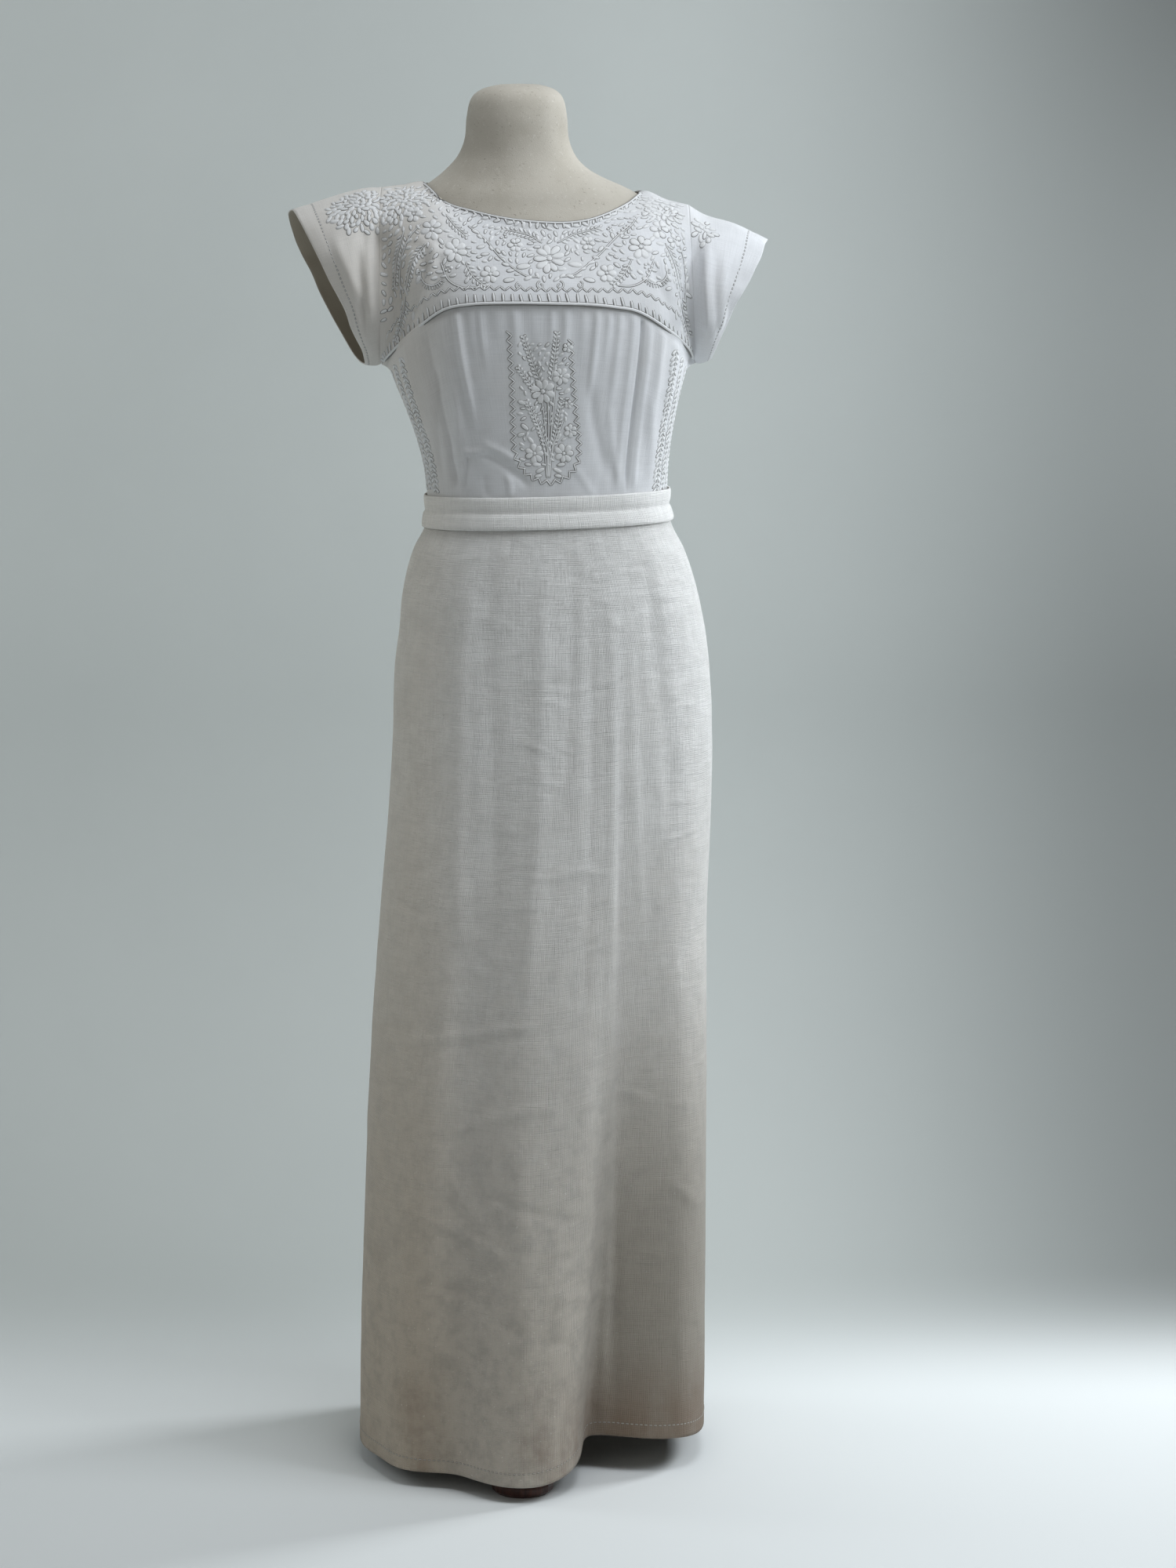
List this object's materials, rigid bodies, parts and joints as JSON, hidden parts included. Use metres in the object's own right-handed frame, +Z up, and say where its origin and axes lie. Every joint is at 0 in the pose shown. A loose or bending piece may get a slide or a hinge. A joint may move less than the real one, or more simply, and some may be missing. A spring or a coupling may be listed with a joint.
{
  "type": "mexican dress on a limbless dress form with a tripod stand",
  "caption": "Long white dress with embroidered yoke, cap sleeves, gathered bodice, waistband and flared linen skirt, worn by a limbless dress form on a low wooden tripod.",
  "frame": {"origin": "on the floor, under the middle of the part's box", "axes": "+Z up, -Y towards the front of the dress, +X towards the viewer's right"},
  "size_m": [0.5152, 0.4018, 1.5055],
  "materials": {
    "cotton": "white washed cotton, plain weave, soft and matte",
    "linen": "off-white slubby linen, matte",
    "form_canvas": "cream canvas stretched smooth over the form",
    "stand_wood": "dark red-brown wood, satin varnish"
  },
  "bodies": {
    "root": {"yoke_front": "cotton", "yoke_back": "cotton", "sleeve_left": "cotton", "sleeve_right": "cotton", "bodice_front": "cotton", "bodice_back": "cotton", "waistband": "linen", "skirt_front": "linen", "skirt_back": "linen", "form_torso": "form_canvas", "stand_collar": "stand_wood", "stand_pole": "stand_wood", "stand_hub": "stand_wood", "leg_front": "stand_wood", "leg_right": "stand_wood", "leg_left": "stand_wood", "foot_front": "stand_wood", "foot_right": "stand_wood", "foot_left": "stand_wood"}
  },
  "joints": []
}
